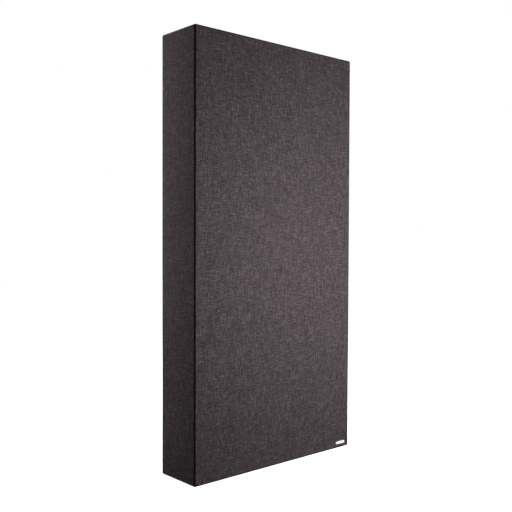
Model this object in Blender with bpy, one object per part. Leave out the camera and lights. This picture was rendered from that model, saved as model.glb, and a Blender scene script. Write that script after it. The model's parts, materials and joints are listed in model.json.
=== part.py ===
# Bass trap: a rebated timber frame holds two mineral wool slabs behind a fleece. A sewn cloth
# cover with a black piped front seam is pulled over it from the front and turned on to the back,
# and a dust cover closes the back. The trap stands on its lower side or hangs by two rings.
#
# Seen from the front, X runs to the right, Y to the back and Z up. The origin is on the floor
# under the middle of the bounding box. "Inset" is a distance inwards from the covered sides,
# and "depth" is a distance backwards from the covered front.

import math

import bmesh
import bpy
from mathutils import Matrix, Vector

MM = 0.001

# The covered box
WIDTH = 600 * MM
HEIGHT = 1200 * MM
DEPTH = 150 * MM
CORNER_RADIUS = 5 * MM  # the box's corners, seen from the front
LEAST_RADIUS = 1 * MM  # inner outlines keep this much of a corner
FIT = 0.3 * MM  # gap between two pieces that touch

# Cloth cover
CLOTH = 0.8 * MM
LIP_INNER_RADIUS = 0.6 * MM  # where the cloth turns in at the front seam
BACK_INNER_RADIUS = 3.2 * MM  # where the side cloth turns on to the back
RETURN_MARGIN = 2 * MM  # board left bare beyond the turned cloth
PIPING_RADIUS = 1.1 * MM
PIPING_RECESS = 0.8 * MM  # the piping lies this far inside the covered planes
SEAM_GAP = 0.2 * MM  # between the piping and the cloth that it's sewn between
DUST_COVER = 0.6 * MM
DUST_COVER_MARGIN = 0.4 * MM  # from the dust cover's edge to the bend of the side cloth

# Timber frame and what fills it
BOARD = 18 * MM
BRACE = 18 * MM
BRACE_HEIGHT = 44 * MM
BRACE_FROM_END = 330 * MM
FLEECE = 3 * MM
SLAB_EDGE = 2 * MM

# Frame and brace screws, with sunk heads
SCREW_HEAD_RADIUS = 4 * MM
SCREW_HEAD = 3 * MM
SCREW_RIM = 0.4 * MM
SCREW_SHANK_RADIUS = 2 * MM
SCREW_LENGTH = 45 * MM
SCREW_TIP = 5 * MM
SCREW_FROM_EDGE = 24 * MM
SCREW_SUNK = 0.2 * MM  # head below the board's face

# Bracket and hanger screws, with round heads
ROUND_HEAD_RADIUS = 3.2 * MM
ROUND_HEAD = 1.8 * MM
ROUND_HEAD_EDGE = 0.9 * MM
ROUND_SHANK_RADIUS = 1.6 * MM
ROUND_TIP = 3 * MM
BRACKET_SCREW_LENGTH = 13 * MM
HANGER_SCREW_LENGTH = 20 * MM

# Cross recess in every screw's head
RECESS_REACH = 1.8 * MM
RECESS_WIDTH = 0.9 * MM
RECESS_DEPTH = 1.1 * MM

# Steel angles in the back corners
BRACKET = 2 * MM
BRACKET_LEG = 40 * MM
BRACKET_MARGIN = 1.5 * MM  # from the angle's edges to the slab and to the boards' back
BRACKET_ROUND = 4 * MM
BRACKET_HOLE_AT = 28 * MM  # from the corner of the angle

# Strap hangers
PIVOT_FROM_TOP = 180 * MM
HARDWARE_MARGIN = 5.1 * MM  # hangers' and bumpers' middle to the side boards' inner faces
STRAP = 1 * MM
STRAP_WIDTH = 11 * MM
STRAP_ROUND = 4 * MM
STRAP_HOLE_SPACING = 14 * MM
STRAP_END = 7 * MM  # from the lower hole to the strap's end
CURL_ANGLE = 262  # degrees that the strap turns round the ring's bar
RING_WIRE_RADIUS = 1.25 * MM
RING_WIDTH = 19 * MM
RING_REACH = 15 * MM  # from the pivot to the ring's far edge
RING_BEND = 2.2 * MM  # radius of the wire's centre line beside the bar
RING_TO_SCREW = 2.8 * MM  # from the hanging ring to the upper screw's head
PIVOT_CLEARANCE = 0.1 * MM

# Wall bumpers
BUMPER_RADIUS = 5.5 * MM
BUMPER = 6 * MM
BUMPER_EDGE = 1 * MM
BUMPER_FROM_END = 40 * MM

# Blank badge on the front, near the lower right corner
BADGE_WIDTH = 38 * MM
BADGE_HEIGHT = 8 * MM
BADGE = 1.2 * MM
BADGE_ROUND = 1.2 * MM
BADGE_EDGE = 0.3 * MM
BADGE_FROM_SIDE = 38.5 * MM  # to its middle
BADGE_FROM_FLOOR = 16.4 * MM  # to its middle
BADGE_PIN_RADIUS = 1 * MM
BADGE_PIN_LENGTH = 8 * MM
BADGE_PIN_SPACING = 26 * MM

# Facets of curved shapes
CORNER_STEPS = 6
ARC_STEPS = 4
CURL_STEPS = 12
BOW_STEPS = 16
ROUND_SIDES = 12
SMOOTH_ANGLE = 35  # degrees

PAST = 5 * MM  # how far a cutter runs past what it cuts
TINY = 0.01 * MM

# Sizes that follow from those above
REBATE = BOARD / 2  # how far the top and bottom boards enter the side boards
BRACE_HOUSING = BOARD / 3  # how far a brace enters the side boards
SHELL = CLOTH + FIT  # from the covered planes to the timber
INNER_INSET = SHELL + BOARD
BOARD_MIDDLE = SHELL + BOARD / 2
HARDWARE_INSET = INNER_INSET - HARDWARE_MARGIN
LIP_RADIUS = LIP_INNER_RADIUS + CLOTH
BACK_RADIUS = BACK_INNER_RADIUS + CLOTH
PIPING_INSET = PIPING_RECESS + PIPING_RADIUS
LIP_END = PIPING_INSET + PIPING_RADIUS
LIP_INSET = LIP_END + SEAM_GAP
RETURN_INSET = INNER_INSET - RETURN_MARGIN
DUST_COVER_INSET = BACK_RADIUS + DUST_COVER_MARGIN
CHAMFER = LIP_INSET + CLOTH + LIP_END + math.sqrt(2) * FIT - 2 * SHELL
BADGE_PROUD = FIT + BADGE
DUST_FACE = DEPTH + FIT + DUST_COVER
BACK_SEAT = DUST_FACE + FIT  # depth at which the hangers and bumpers sit
FRONT_Y = (BADGE_PROUD - BACK_SEAT - BUMPER) / 2
TIMBER_BACK = DEPTH - SHELL
BRACE_FRONT = TIMBER_BACK - BRACE
BRACE_MIDDLE = TIMBER_BACK - BRACE / 2
FLEECE_BACK = SHELL + FLEECE
SLAB = (BRACE_FRONT - FLEECE_BACK - 3 * FIT) / 2
BRACKET_WIDTH = BRACE - 2 * BRACKET_MARGIN
CURL_INNER = RING_WIRE_RADIUS + PIVOT_CLEARANCE
CURL_OUTER = CURL_INNER + STRAP
PIVOT_DEPTH = BACK_SEAT + CURL_OUTER
PIVOT_Z = HEIGHT - PIVOT_FROM_TOP
UPPER_HOLE = RING_REACH + RING_TO_SCREW + ROUND_HEAD_RADIUS  # below the pivot
LOWER_HOLE = UPPER_HOLE + STRAP_HOLE_SPACING
STRAP_LENGTH = LOWER_HOLE + STRAP_END

LEFT, RIGHT = -1, 1
BOTTOM, TOP = -1, 1
SIDE_NAMES = {LEFT: "left", RIGHT: "right"}
END_NAMES = {BOTTOM: "bottom", TOP: "top"}
BRACE_NAMES = {BOTTOM: "lower_brace", TOP: "upper_brace"}
# The box's corners in turn, each with the angle at which its arc starts.
CORNERS = ((RIGHT, BOTTOM, -90), (RIGHT, TOP, 0), (LEFT, TOP, 90), (LEFT, BOTTOM, 180))
BAND_NAMES = ("right_band", "top_band", "left_band", "bottom_band")


def clear_scene():
    for obj in list(bpy.data.objects):
        bpy.data.objects.remove(obj)
    for collection in list(bpy.data.collections):
        bpy.data.collections.remove(collection)


def finish_of(name, colour, roughness, metallic=0.0):
    finish = bpy.data.materials.new(name)
    finish.use_nodes = True
    shader = finish.node_tree.nodes["Principled BSDF"]
    shader.inputs["Base Color"].default_value = (*colour, 1)
    shader.inputs["Roughness"].default_value = roughness
    shader.inputs["Metallic"].default_value = metallic
    finish.diffuse_color = (*colour, 1)
    return finish


def y_at(depth):
    return FRONT_Y + depth


def end_z(end, distance):
    """The height that lies this distance in from the bottom or the top."""
    return distance if end == BOTTOM else HEIGHT - distance


def side_x(side, inset):
    return side * (WIDTH / 2 - inset)


def arc(middle, radius, start, end, steps=ARC_STEPS):
    """Points of an arc in a plane. The angles are in degrees."""
    angles = [math.radians(start + (end - start) * i / steps) for i in range(steps + 1)]
    return [(middle[0] + radius * math.cos(a), middle[1] + radius * math.sin(a)) for a in angles]


def object_with(name, data, finish):
    obj = bpy.data.objects.new(name, data)
    bpy.context.scene.collection.objects.link(obj)
    if finish and not data.materials:
        data.materials.append(finish)
    return obj


def object_of(name, bm, finish):
    bmesh.ops.recalc_face_normals(bm, faces=bm.faces)
    mesh = bpy.data.meshes.new(name)
    bm.to_mesh(mesh)
    bm.free()
    return object_with(name, mesh, finish)


def box(name, corner, opposite, finish=None):
    """A box between two opposite corners, given in any order."""
    low = Vector([min(pair) for pair in zip(corner, opposite)])
    high = Vector([max(pair) for pair in zip(corner, opposite)])
    bm = bmesh.new()
    bmesh.ops.create_cube(bm, size=1)
    bmesh.ops.transform(bm, matrix=Matrix.Diagonal((*(high - low), 1)), verts=bm.verts)
    bmesh.ops.translate(bm, vec=(low + high) / 2, verts=bm.verts)
    return object_of(name, bm, finish)


def extruded(name, outline, along, finish):
    """A flat outline of points, extruded by the vector along."""
    bm = bmesh.new()
    face = bm.faces.new([bm.verts.new(p) for p in outline])
    made = bmesh.ops.extrude_face_region(bm, geom=[face])["geom"]
    moved = [v for v in made if isinstance(v, bmesh.types.BMVert)]
    bmesh.ops.translate(bm, vec=along, verts=moved)
    return object_of(name, bm, finish)


def turned(name, profile, finish=None):
    """A profile of (radius, z) from one end of the axis to the other, spun round Z."""
    bm = bmesh.new()
    verts = [bm.verts.new((radius, 0, z)) for radius, z in profile]
    edges = [bm.edges.new(pair) for pair in zip(verts, verts[1:])]
    bmesh.ops.spin(
        bm,
        geom=verts + edges,
        cent=(0, 0, 0),
        axis=(0, 0, 1),
        angle=math.tau,
        steps=ROUND_SIDES,
        use_merge=True,
    )
    bmesh.ops.remove_doubles(bm, verts=bm.verts, dist=TINY)
    obj = object_of(name, bm, finish)
    shade(obj.data)
    return obj


def shade(mesh):
    mesh.shade_smooth()
    mesh.set_sharp_from_angle(angle=math.radians(SMOOTH_ANGLE))


def place(obj, location, direction):
    """Moves a turned piece, with its +Z along the direction."""
    obj.location = location
    obj.rotation_euler = Vector(direction).to_track_quat("Z", "Y").to_euler()
    return obj


def round_off(obj, chosen, radius):
    """Rounds the chosen edges of a plain mesh."""
    bm = bmesh.new()
    bm.from_mesh(obj.data)
    edges = [e for e in bm.edges if chosen(e.verts[0].co, e.verts[1].co)]
    bmesh.ops.bevel(bm, geom=edges, offset=radius, segments=ARC_STEPS, profile=0.5, affect="EDGES")
    bm.to_mesh(obj.data)
    bm.free()


def as_cutter(obj):
    obj.hide_render = True
    obj.display_type = "WIRE"
    return obj


def boolean(obj, operation, name):
    modifier = obj.modifiers.new(name, "BOOLEAN")
    modifier.operation = operation
    modifier.solver = "EXACT"
    return modifier


def cut(objects, cutter):
    """Adds the cutter to those of each object, which one Boolean takes away together."""
    as_cutter(cutter)
    for obj in objects:
        name = obj.name + "_cuts"
        if name not in bpy.data.collections:
            modifier = boolean(obj, "DIFFERENCE", name)
            modifier.operand_type = "COLLECTION"
            modifier.collection = bpy.data.collections.new(name)
        bpy.data.collections[name].objects.link(cutter)


def plain_hole(name, location, direction, radius, length):
    """A cutter from outside the location down to that length below it."""
    profile = [(0, PAST), (radius, PAST), (radius, -length), (0, -length)]
    return place(turned(name, profile), location, direction)


def baked(obj):
    """The object's mesh with its modifiers in it. The object itself is removed."""
    bpy.context.view_layer.update()
    graph = bpy.context.evaluated_depsgraph_get()
    mesh = bpy.data.meshes.new_from_object(obj.evaluated_get(graph))
    bpy.data.objects.remove(obj)
    return mesh


# Outlines of the covered box


def outline_point(inset, corner, angle):
    """A point of the rounded outline, that far inside the covered sides, on one corner's arc."""
    radius = max(CORNER_RADIUS - inset, LEAST_RADIUS)
    across, up, _ = corner
    x = across * (WIDTH / 2 - inset - radius) + radius * math.cos(math.radians(angle))
    z = HEIGHT / 2 + up * (HEIGHT / 2 - inset - radius) + radius * math.sin(math.radians(angle))
    return Vector((x, 0, z))


def outline_at(inset, depth):
    points = []
    for corner in CORNERS:
        for step in range(CORNER_STEPS + 1):
            point = outline_point(inset, corner, corner[2] + 90 * step / CORNER_STEPS)
            points.append(point + Vector((0, y_at(depth), 0)))
    return points


def skin_between(bm, rows):
    """Closes the rows of points with quads, and the first and last row with a face each."""
    for one, two in zip(rows, rows[1:]):
        for i in range(len(one)):
            j = (i + 1) % len(one)
            bm.faces.new((one[i], one[j], two[j], two[i]))
    bm.faces.new(rows[0])
    bm.faces.new(rows[-1])


def lofted(name, stations, finish=None):
    """A solid through rounded outlines, each at an (inset, depth)."""
    bm = bmesh.new()
    skin_between(bm, [[bm.verts.new(p) for p in outline_at(*station)] for station in stations])
    return object_of(name, bm, finish)


def strip(name, side, profile, finish):
    """A closed profile of (inset, depth) swept along one side of the box, mitred at its corners."""
    first, second = CORNERS[side], CORNERS[(side + 1) % len(CORNERS)]
    half = CORNER_STEPS // 2
    stations = [(first, first[2] + 45 + 45 * i / half) for i in range(half + 1)]
    stations += [(second, first[2] + 90 + 45 * i / half) for i in range(half + 1)]
    bm = bmesh.new()
    rows = []
    for i, (corner, angle) in enumerate(stations):
        trim = FIT / 2 * ((i == 0) - (i == len(stations) - 1))
        along = Vector((-math.sin(math.radians(angle)), 0, math.cos(math.radians(angle))))
        row = []
        for inset, depth in profile:
            point = outline_point(inset, corner, angle) + trim * along
            row.append(bm.verts.new(point + Vector((0, y_at(depth), 0))))
        rows.append(row)
    skin_between(bm, rows)
    return object_of(name, bm, finish)


def tube(name, points, radius, resolution, finish):
    """A round wire along a closed row of points."""
    curve = bpy.data.curves.new(name, "CURVE")
    curve.dimensions = "3D"
    curve.bevel_depth = radius
    curve.bevel_resolution = resolution
    spline = curve.splines.new("POLY")
    spline.points.add(len(points) - 1)
    for spline_point, point in zip(spline.points, points):
        spline_point.co = (*point, 1)
    spline.use_cyclic_u = True
    return object_with(name, curve, finish)


# Cloth cover


def front_cloth(finish):
    """The front panel, with its edge turned back behind the piping."""
    middle = (LIP_INSET + LIP_RADIUS, LIP_RADIUS)
    outer = arc(middle, LIP_RADIUS, -90, -180)
    inner = arc(middle, LIP_INNER_RADIUS, -180, -90)
    end = [(LIP_INSET, LIP_END), (LIP_INSET + CLOTH, LIP_END)]
    return lofted("front_cloth", outer + end + inner, finish)


def band_profile():
    """The side cloth's section: turned in at the front seam, and round on to the back."""
    lip = (LIP_RADIUS, LIP_INSET + LIP_RADIUS)
    back = (BACK_RADIUS, DEPTH - BACK_RADIUS)
    outer = arc(lip, LIP_RADIUS, -90, -180) + arc(back, BACK_RADIUS, 180, 90)
    back_end = [(RETURN_INSET, DEPTH), (RETURN_INSET, DEPTH - CLOTH)]
    inner = arc(back, BACK_INNER_RADIUS, 90, 180) + arc(lip, LIP_INNER_RADIUS, -180, -90)
    front_end = [(LIP_END, LIP_INSET + CLOTH), (LIP_END, LIP_INSET)]
    return outer + back_end + inner + front_end


def bands(finish):
    return {name: strip(name, side, band_profile(), finish) for side, name in enumerate(BAND_NAMES)}


def seam_piping(finish):
    return tube("seam_piping", outline_at(PIPING_INSET, PIPING_INSET), PIPING_RADIUS, 2, finish)


def dust_cover(finish):
    stations = [(DUST_COVER_INSET, DEPTH + FIT), (DUST_COVER_INSET, DUST_FACE)]
    return lofted("dust_cover", stations, finish)


# Timber frame and what fills it


def timber_envelope():
    """The frame's outer shape: chamfered behind the front seam and rounded at the back."""
    front = [(SHELL + CHAMFER, SHELL), (SHELL, SHELL + CHAMFER)]
    back = arc((BACK_RADIUS, DEPTH - BACK_RADIUS), BACK_RADIUS - SHELL, 180, 90)
    return as_cutter(lofted("timber_envelope", front + back))


def side_board(side, envelope, finish):
    inner, past = side_x(side, INNER_INSET), side_x(side, -PAST)
    name = SIDE_NAMES[side] + "_board"
    board = box(name, (inner, y_at(-PAST), -PAST), (past, y_at(DEPTH + PAST), HEIGHT + PAST), finish)
    boolean(board, "INTERSECT", envelope.name).object = envelope
    for end in (BOTTOM, TOP):
        cut([board], rebate(side, end))
        cut([board], housing(side, end))
    return board


def rebate(side, end):
    corner = (side_x(side, INNER_INSET + PAST), y_at(-PAST), end_z(end, INNER_INSET + FIT))
    opposite = (side_x(side, INNER_INSET - REBATE), y_at(DEPTH + PAST), end_z(end, -PAST))
    return box(f"rebate_{END_NAMES[end]}_{SIDE_NAMES[side]}", corner, opposite)


def housing(side, end):
    middle = end_z(end, BRACE_FROM_END)
    half = BRACE_HEIGHT / 2 + FIT
    corner = (side_x(side, INNER_INSET + PAST), y_at(BRACE_FRONT - FIT), middle - half)
    opposite = (side_x(side, INNER_INSET - BRACE_HOUSING), y_at(DEPTH + PAST), middle + half)
    return box(f"housing_{END_NAMES[end]}_{SIDE_NAMES[side]}", corner, opposite)


def end_board(end, envelope, finish):
    half = WIDTH / 2 - INNER_INSET + REBATE - FIT
    corner = (-half, y_at(-PAST), end_z(end, INNER_INSET))
    opposite = (half, y_at(DEPTH + PAST), end_z(end, -PAST))
    board = box(END_NAMES[end] + "_board", corner, opposite, finish)
    boolean(board, "INTERSECT", envelope.name).object = envelope
    return board


def brace(end, finish):
    half = WIDTH / 2 - INNER_INSET + BRACE_HOUSING - FIT
    middle = end_z(end, BRACE_FROM_END)
    corner = (-half, y_at(BRACE_FRONT), middle - BRACE_HEIGHT / 2)
    opposite = (half, y_at(TIMBER_BACK), middle + BRACE_HEIGHT / 2)
    return box(BRACE_NAMES[end], corner, opposite, finish)


def filling(name, front, back, finish):
    """A layer that fills the frame's opening between two depths."""
    inset = INNER_INSET + FIT
    half = WIDTH / 2 - inset
    return box(name, (-half, y_at(front), inset), (half, y_at(back), HEIGHT - inset), finish)


def slabs(finish):
    front = FLEECE_BACK + FIT
    for name in ("front_slab", "rear_slab"):
        slab = filling(name, front, front + SLAB, finish)
        edge = slab.modifiers.new("Edge", "BEVEL")
        edge.width = SLAB_EDGE
        edge.segments = 2
        front += SLAB + FIT


# Screws


def shank(radius, length, tip):
    return [(radius, tip - length), (0, -length)]


def sunk_screw(finish):
    head = [(0, 0), (SCREW_HEAD_RADIUS, 0), (SCREW_HEAD_RADIUS, -SCREW_RIM)]
    profile = head + [(SCREW_SHANK_RADIUS, -SCREW_HEAD)]
    profile += shank(SCREW_SHANK_RADIUS, SCREW_LENGTH, SCREW_TIP)
    return recessed(turned("sunk_screw", profile, finish))


def round_screw(name, length, finish):
    middle = (ROUND_HEAD_RADIUS - ROUND_HEAD_EDGE, -ROUND_HEAD_EDGE)
    head = [(0, 0)] + arc(middle, ROUND_HEAD_EDGE, 90, 0, 2)
    neck = [(ROUND_HEAD_RADIUS, -ROUND_HEAD), (ROUND_SHANK_RADIUS, -ROUND_HEAD)]
    profile = head + neck + shank(ROUND_SHANK_RADIUS, length, ROUND_TIP)
    return recessed(turned(name, profile, finish))


def recessed(screw):
    """Cuts the cross recess in a screw's head, and gives the finished mesh."""
    half = RECESS_WIDTH / 2
    across = box("recess_across", (-RECESS_REACH, -half, -RECESS_DEPTH), (RECESS_REACH, half, PAST))
    along = box("recess_along", (-half, -RECESS_REACH, -RECESS_DEPTH), (half, RECESS_REACH, PAST))
    cut([screw], across)
    cut([screw], along)
    mesh = baked(screw)
    for cutter in (across, along):
        bpy.data.objects.remove(cutter)
    return mesh


def sunk_hole(name, location, direction):
    """A cutter for a sunk screw: its head's seat and its shank, with a gap all round."""
    head, inner = SCREW_HEAD_RADIUS + FIT, SCREW_SHANK_RADIUS + FIT
    profile = [(0, PAST), (head, PAST), (head, -SCREW_RIM), (inner, -SCREW_HEAD)]
    profile += [(inner, -SCREW_LENGTH - FIT), (0, -SCREW_LENGTH - FIT)]
    return place(turned(name, profile), location, direction)


def frame_screw_spots(side, boards, braces):
    """Name, depth, height and far piece of each screw through one side board."""
    for end in (BOTTOM, TOP):
        corner = f"{END_NAMES[end]}_{SIDE_NAMES[side]}"
        depths = (SCREW_FROM_EDGE, DEPTH / 2, DEPTH - SCREW_FROM_EDGE)
        for number, depth in enumerate(depths, 1):
            z = end_z(end, BOARD_MIDDLE)
            yield f"frame_screw_{corner}_{number}", depth, z, boards[END_NAMES[end]]
        yield f"brace_screw_{corner}", BRACE_MIDDLE, end_z(end, BRACE_FROM_END), braces[end]


def frame_screws(boards, braces, finish):
    mesh = sunk_screw(finish)
    for side in (LEFT, RIGHT):
        x = side_x(side, SHELL + SCREW_SUNK)
        for name, depth, z, far in frame_screw_spots(side, boards, braces):
            location = (x, y_at(depth), z)
            place(object_with(name, mesh, finish), location, (side, 0, 0))
            cut([boards[SIDE_NAMES[side]], far], sunk_hole(name + "_hole", location, (side, 0, 0)))


# Steel angles


def bracket(side, end, finish):
    """An angle in one back corner of the frame, its legs along the two boards."""
    corner_x = side_x(side, INNER_INSET + FIT)
    corner_z = end_z(end, INNER_INSET + FIT)
    front = BRACE_FRONT + BRACKET_MARGIN
    leg = [(0, 0), (BRACKET_LEG, 0), (BRACKET_LEG, BRACKET), (BRACKET, BRACKET)]
    legs = leg + [(BRACKET, BRACKET_LEG), (0, BRACKET_LEG)]
    outline = [(corner_x - side * a, y_at(front), corner_z - end * b) for a, b in legs]
    name = f"corner_bracket_{END_NAMES[end]}_{SIDE_NAMES[side]}"
    obj = extruded(name, outline, (0, BRACKET_WIDTH, 0), finish)

    def at_leg_end(one, two):
        far_x = min(abs(p.x - corner_x) for p in (one, two)) > BRACKET_LEG - TINY
        far_z = min(abs(p.z - corner_z) for p in (one, two)) > BRACKET_LEG - TINY
        return (far_x or far_z) and abs(one.y - two.y) < TINY

    round_off(obj, at_leg_end, BRACKET_ROUND)
    return obj


def brackets(boards, steel):
    mesh = round_screw("bracket_screw", BRACKET_SCREW_LENGTH, steel)
    face = INNER_INSET + FIT
    head_top = face + BRACKET + FIT + ROUND_HEAD
    hole_at = face + BRACKET_HOLE_AT
    for side in (LEFT, RIGHT):
        for end in (BOTTOM, TOP):
            angle = bracket(side, end, steel)
            upright = (side_x(side, head_top), y_at(BRACE_MIDDLE), end_z(end, hole_at))
            level = (side_x(side, hole_at), y_at(BRACE_MIDDLE), end_z(end, head_top))
            legs = {
                "upright": (upright, (-side, 0, 0), boards[SIDE_NAMES[side]]),
                "level": (level, (0, 0, -end), boards[END_NAMES[end]]),
            }
            for leg, (location, direction, board) in legs.items():
                name = f"bracket_screw_{END_NAMES[end]}_{SIDE_NAMES[side]}_{leg}"
                place(object_with(name, mesh, steel), location, direction)
                radius, length = ROUND_SHANK_RADIUS + FIT, BRACKET_SCREW_LENGTH + FIT
                cut([angle, board], plain_hole(name + "_hole", location, direction, radius, length))


# Strap hangers


def strap(side, finish):
    """A strap screwed to the board's back edge, curled at its top round the ring's bar."""
    curl_end = 180 - CURL_ANGLE
    outer = arc((0, 0), CURL_OUTER, 180, curl_end, CURL_STEPS)
    inner = arc((0, 0), CURL_INNER, curl_end, 180, CURL_STEPS)
    lower = [(-CURL_OUTER, -STRAP_LENGTH)]
    section = lower + outer + inner + [(-CURL_INNER, -STRAP_LENGTH)]
    outline = [(-STRAP_WIDTH / 2, y, z) for y, z in section]
    obj = extruded(f"hanger_strap_{SIDE_NAMES[side]}", outline, (STRAP_WIDTH, 0, 0), finish)
    obj.location = (side_x(side, HARDWARE_INSET), y_at(PIVOT_DEPTH), PIVOT_Z)

    def at_lower_corner(one, two):
        return max(one.z, two.z) < TINY - STRAP_LENGTH and abs(one.x - two.x) < TINY

    round_off(obj, at_lower_corner, STRAP_ROUND)
    return obj


def ring_path():
    """The D-shaped ring's centre line, hanging down from its bar, which lies along X."""
    half = RING_WIDTH / 2 - RING_WIRE_RADIUS
    bow_middle = half + RING_WIRE_RADIUS - RING_REACH
    right_bend = arc((half - RING_BEND, -RING_BEND), RING_BEND, 90, 0)
    bow = arc((0, bow_middle), half, 0, -180, BOW_STEPS)
    left_bend = arc((RING_BEND - half, -RING_BEND), RING_BEND, 180, 90)
    return [(x, 0, z) for x, z in right_bend + bow + left_bend]


def hanger_ring(side, finish):
    ring = tube(f"hanger_ring_{SIDE_NAMES[side]}", ring_path(), RING_WIRE_RADIUS, 3, finish)
    ring.location = (side_x(side, HARDWARE_INSET), y_at(PIVOT_DEPTH), PIVOT_Z)


def hangers(boards, covers, steel):
    mesh = round_screw("hanger_screw", HANGER_SCREW_LENGTH, steel)
    head_top = BACK_SEAT + STRAP + FIT + ROUND_HEAD
    radius, length = ROUND_SHANK_RADIUS + FIT, HANGER_SCREW_LENGTH + FIT
    for side, name in SIDE_NAMES.items():
        hanger_ring(side, steel)
        held = [strap(side, steel), covers["dust_cover"], covers[name + "_band"], boards[name]]
        for number, drop in enumerate((UPPER_HOLE, LOWER_HOLE), 1):
            location = (side_x(side, HARDWARE_INSET), y_at(head_top), PIVOT_Z - drop)
            screw = f"hanger_screw_{name}_{number}"
            place(object_with(screw, mesh, steel), location, (0, 1, 0))
            cut(held, plain_hole(screw + "_hole", location, (0, 1, 0), radius, length))


# Bumpers and badge


def bumpers(finish):
    edge = arc((BUMPER_RADIUS - BUMPER_EDGE, BUMPER - BUMPER_EDGE), BUMPER_EDGE, 0, 90, 2)
    profile = [(0, 0), (BUMPER_RADIUS, 0)] + edge + [(0, BUMPER)]
    mesh = baked(turned("bumper", profile, finish))
    for side in (LEFT, RIGHT):
        for end in (BOTTOM, TOP):
            name = f"bumper_{END_NAMES[end]}_{SIDE_NAMES[side]}"
            location = (side_x(side, HARDWARE_INSET), y_at(BACK_SEAT), end_z(end, BUMPER_FROM_END))
            place(object_with(name, mesh, finish), location, (0, 1, 0))


def badge(boards, cloth, finish):
    """A blank plate on two pins, which pass through the cloth into the bottom board."""
    middle = Vector((side_x(RIGHT, BADGE_FROM_SIDE), y_at(-FIT), BADGE_FROM_FLOOR))
    half_width, half_height = BADGE_WIDTH / 2 - BADGE_ROUND, BADGE_HEIGHT / 2 - BADGE_ROUND
    outline = []
    for across, up, start in CORNERS:
        corner = (across * half_width, up * half_height)
        outline += [(x, 0, z) for x, z in arc(corner, BADGE_ROUND, start, start + 90)]
    plate = extruded("badge", outline, (0, -BADGE, 0), finish)
    plate.location = middle
    edge = plate.modifiers.new("Edge", "BEVEL")
    edge.width = BADGE_EDGE
    edge.segments = 2
    for across in (LEFT, RIGHT):
        spot = middle + Vector((across * BADGE_PIN_SPACING / 2, 0, 0))
        name = f"badge_pin_{SIDE_NAMES[across]}"
        start, end = BADGE / 2, -BADGE_PIN_LENGTH
        profile = [(0, start), (BADGE_PIN_RADIUS, start), (BADGE_PIN_RADIUS, end), (0, end)]
        pin = as_cutter(place(turned(name, profile), spot, (0, -1, 0)))
        boolean(plate, "UNION", name).object = pin
        radius, length = BADGE_PIN_RADIUS + FIT, BADGE_PIN_LENGTH + FIT
        cut([cloth, boards["bottom"]], plain_hole(name + "_hole", spot, (0, -1, 0), radius, length))


def build():
    clear_scene()
    cloth = finish_of("cover_cloth", (0.098, 0.083, 0.088), 0.95)
    piping_cloth = finish_of("piping_cloth", (0.012, 0.011, 0.011), 0.9)
    black_fleece = finish_of("black_fleece", (0.02, 0.02, 0.021), 0.9)
    pine = finish_of("pine", (0.60, 0.42, 0.24), 0.6)
    mineral_wool = finish_of("mineral_wool", (0.42, 0.34, 0.13), 1.0)
    glass_fleece = finish_of("glass_fleece", (0.75, 0.74, 0.70), 0.95)
    zinc = finish_of("zinc_plated_steel", (0.62, 0.62, 0.60), 0.35, 1.0)
    rubber = finish_of("rubber", (0.03, 0.03, 0.03), 0.75)
    white = finish_of("white_plastic", (0.86, 0.85, 0.84), 0.4)

    envelope = timber_envelope()
    boards = {SIDE_NAMES[side]: side_board(side, envelope, pine) for side in (LEFT, RIGHT)}
    boards |= {END_NAMES[end]: end_board(end, envelope, pine) for end in (BOTTOM, TOP)}
    braces = {end: brace(end, pine) for end in (BOTTOM, TOP)}
    filling("fleece_layer", SHELL, FLEECE_BACK, glass_fleece)
    slabs(mineral_wool)

    front = front_cloth(cloth)
    covers = bands(cloth)
    covers["dust_cover"] = dust_cover(black_fleece)
    seam_piping(piping_cloth)

    frame_screws(boards, braces, zinc)
    brackets(boards, zinc)
    hangers(boards, covers, zinc)
    bumpers(rubber)
    badge(boards, front, white)


build()
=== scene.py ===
# Bass trap, 600 x 1200 x 150 mm: sewn melange cover with a black piped front seam, a stapled dust
# cover and two swinging hanger rings on the back. Metres, Z up, the front faces -Y.
import json
import math

import bmesh
import bpy
from mathutils import Matrix, Vector, noise

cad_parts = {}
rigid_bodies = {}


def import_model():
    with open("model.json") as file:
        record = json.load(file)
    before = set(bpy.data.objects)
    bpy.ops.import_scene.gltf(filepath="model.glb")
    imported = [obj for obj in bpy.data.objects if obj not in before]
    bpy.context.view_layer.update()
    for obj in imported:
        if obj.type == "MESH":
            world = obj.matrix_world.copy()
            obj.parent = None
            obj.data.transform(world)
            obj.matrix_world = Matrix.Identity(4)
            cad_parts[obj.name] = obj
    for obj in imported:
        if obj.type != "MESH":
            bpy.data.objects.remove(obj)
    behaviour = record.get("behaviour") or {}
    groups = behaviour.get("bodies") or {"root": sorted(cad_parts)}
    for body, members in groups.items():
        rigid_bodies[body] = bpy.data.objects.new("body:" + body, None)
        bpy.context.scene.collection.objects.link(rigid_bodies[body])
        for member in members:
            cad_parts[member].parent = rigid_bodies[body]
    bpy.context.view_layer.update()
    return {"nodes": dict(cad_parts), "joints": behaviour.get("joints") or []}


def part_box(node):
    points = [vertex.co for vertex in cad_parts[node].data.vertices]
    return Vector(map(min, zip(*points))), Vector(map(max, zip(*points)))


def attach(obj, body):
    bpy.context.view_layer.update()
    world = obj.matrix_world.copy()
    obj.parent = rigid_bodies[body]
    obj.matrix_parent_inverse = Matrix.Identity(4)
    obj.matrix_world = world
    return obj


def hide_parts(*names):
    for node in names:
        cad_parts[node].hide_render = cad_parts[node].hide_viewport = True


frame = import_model()
nodes = frame["nodes"]
mm = 0.001
print("frame loaded,", len(nodes), "nodes")

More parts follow.
